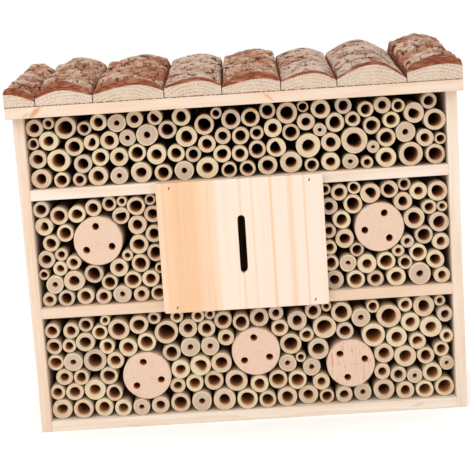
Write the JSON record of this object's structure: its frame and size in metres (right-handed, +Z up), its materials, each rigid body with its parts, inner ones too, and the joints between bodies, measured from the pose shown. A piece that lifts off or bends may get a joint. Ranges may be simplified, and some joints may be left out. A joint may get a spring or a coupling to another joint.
{
  "type": "insect hotel",
  "caption": "Nailed pine case with three storeys of hollow canes and drilled logs, a slotted butterfly chamber and a roof of bark slabs.",
  "frame": {"origin": "on the ground plane, under the middle of the whole hotel's box, hangers included", "axes": "+Z up, the open front faces -Y, +X to the viewer's right when looking at the front"},
  "size_m": [0.5, 0.1894, 0.4219],
  "materials": {
    "planed_pine": "planed untreated pine, pale cream with fine grain",
    "panel_pine": "planed untreated pine, vertical grain with warm bands",
    "plywood": "thin untreated plywood",
    "slab_wood": "sawn end grain",
    "bark": "rough flaky pine bark, grey-brown plates over red-brown crevices",
    "log_wood": "debarked round wood, sawn end grain",
    "cane": "dry bamboo cane, pale cut ends",
    "nail_steel": "bright steel",
    "hanger_steel": "zinc plated sheet"
  },
  "bodies": {
    "root": {"back_board": "plywood", "back_nails": "nail_steel", "bark_1": "bark", "bark_2": "bark", "bark_3": "bark", "bark_4": "bark", "bark_5": "bark", "bark_6": "bark", "bark_7": "bark", "bark_8": "bark", "base_board": "planed_pine", "bottom_canes_1": "cane", "bottom_canes_2": "cane", "bottom_canes_3": "cane", "bottom_canes_4": "cane", "bottom_canes_5": "cane", "bottom_canes_6": "cane", "bottom_canes_7": "cane", "bottom_log_1": "log_wood", "bottom_log_2": "log_wood", "bottom_log_3": "log_wood", "frame_nails": "nail_steel", "front_panel": "panel_pine", "hanger_screws": "nail_steel", "left_canes_1": "cane", "left_canes_2": "cane", "left_canes_3": "cane", "left_divider": "planed_pine", "left_hanger": "hanger_steel", "left_log": "log_wood", "left_side": "planed_pine", "lower_shelf": "planed_pine", "panel_nails": "nail_steel", "right_canes_1": "cane", "right_canes_2": "cane", "right_canes_3": "cane", "right_divider": "planed_pine", "right_hanger": "hanger_steel", "right_log": "log_wood", "right_side": "planed_pine", "roof_board": "planed_pine", "roof_nails": "nail_steel", "slab_1": "slab_wood", "slab_2": "slab_wood", "slab_3": "slab_wood", "slab_4": "slab_wood", "slab_5": "slab_wood", "slab_6": "slab_wood", "slab_7": "slab_wood", "slab_8": "slab_wood", "slab_nails": "nail_steel", "top_canes_1": "cane", "top_canes_2": "cane", "top_canes_3": "cane", "top_canes_4": "cane", "top_canes_5": "cane", "top_canes_6": "cane", "upper_shelf": "planed_pine"}
  },
  "joints": []
}
